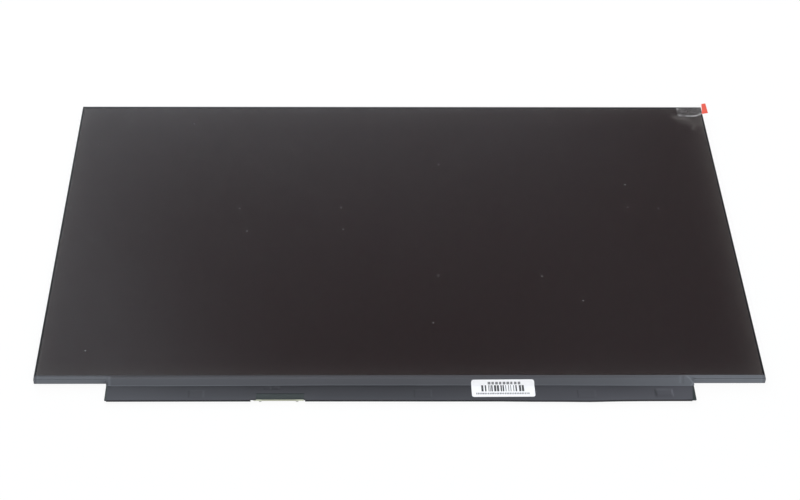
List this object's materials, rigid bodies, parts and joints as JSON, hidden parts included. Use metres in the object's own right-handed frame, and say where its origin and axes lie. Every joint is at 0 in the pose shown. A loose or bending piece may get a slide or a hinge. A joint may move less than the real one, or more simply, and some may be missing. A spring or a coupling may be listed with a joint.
{
  "type": "laptop screen panel",
  "caption": "Thin rectangular liquid-crystal display module for a laptop, with a control board along its lower edge, a film-covered dark screen and a red pull tab.",
  "frame": {"origin": "centre of the module's outline, without its board, on the plane of the raised field of its rear", "axes": "+X to the right of the picture, +Y to its top, +Z out of the screen"},
  "size_m": [0.3529, 0.2155, 0.0056],
  "materials": {
    "clear_film": "glossy clear polyester",
    "tab_tape": "glossy clear tape",
    "red_grip": "satin red polyester",
    "polariser": "dark anti-glare",
    "glass": "thin polished glass",
    "sealant": "cured resin",
    "black_plastic": "fine moulded grain",
    "optical_sheet": "translucent matt polyester",
    "acrylic": "polished clear acrylic",
    "white_sheet": "white foamed polyester",
    "plate": "satin rolled sheet",
    "black_tape": "matt black polyester",
    "grey_tape": "satin grey polyester",
    "adhesive_tape": "double-sided foam tape",
    "board_film": "satin dark polyester",
    "circuit_board": "green solder mask",
    "flexible_circuit": "amber polyimide",
    "strip_white": "white cover layer",
    "led_body": "moulded resin",
    "chip_resin": "black moulding compound",
    "silicon": "polished silicon",
    "connector_plastic": "ivory moulded plastic",
    "connector_metal": "tin-plated sheet",
    "contact_metal": "gold-plated spring",
    "capacitor_body": "tan ceramic with tinned ends",
    "resistor_body": "black glaze with tinned ends",
    "ferrite": "moulded metal powder",
    "ground_tape": "silvered conductive cloth",
    "label_paper": "coated paper"
  },
  "bodies": {
    "root": {"array_glass": "glass", "back_plate": "plate", "backlight_driver": "chip_resin", "backlight_socket": "connector_plastic", "board_cover_film": "board_film", "bottom_cover_tape": "grey_tape", "cell_seal": "sealant", "ceramic_capacitors": "capacitor_body", "chip_resistors": "resistor_body", "colour_filter_glass": "glass", "connector_contacts": "contact_metal", "connector_housing": "connector_plastic", "connector_shell": "connector_metal", "control_board": "circuit_board", "driver_chip_1": "silicon", "driver_chip_2": "silicon", "driver_chip_3": "silicon", "driver_chip_4": "silicon", "driver_film_1": "flexible_circuit", "driver_film_2": "flexible_circuit", "driver_film_3": "flexible_circuit", "driver_film_4": "flexible_circuit", "front_label": "label_paper", "front_polariser": "polariser", "inductor_1": "ferrite", "inductor_2": "ferrite", "inductor_3": "ferrite", "led_strip": "strip_white", "leds": "led_body", "left_edge_tape": "black_tape", "left_ground_tape": "ground_tape", "light_guide": "acrylic", "lower_diffuser": "optical_sheet", "lower_prism_sheet": "optical_sheet", "memory_chip": "chip_resin", "mould_frame": "black_plastic", "power_chip": "chip_resin", "protective_film": "clear_film", "pull_tab_grip": "red_grip", "pull_tab_tape": "tab_tape", "rear_label": "label_paper", "rear_polariser": "polariser", "reflector": "white_sheet", "right_edge_tape": "black_tape", "right_ground_tape": "ground_tape", "rim_tape": "adhesive_tape", "timing_controller": "chip_resin", "top_diffuser": "optical_sheet", "top_edge_tape": "black_tape", "upper_prism_sheet": "optical_sheet"}
  },
  "joints": []
}
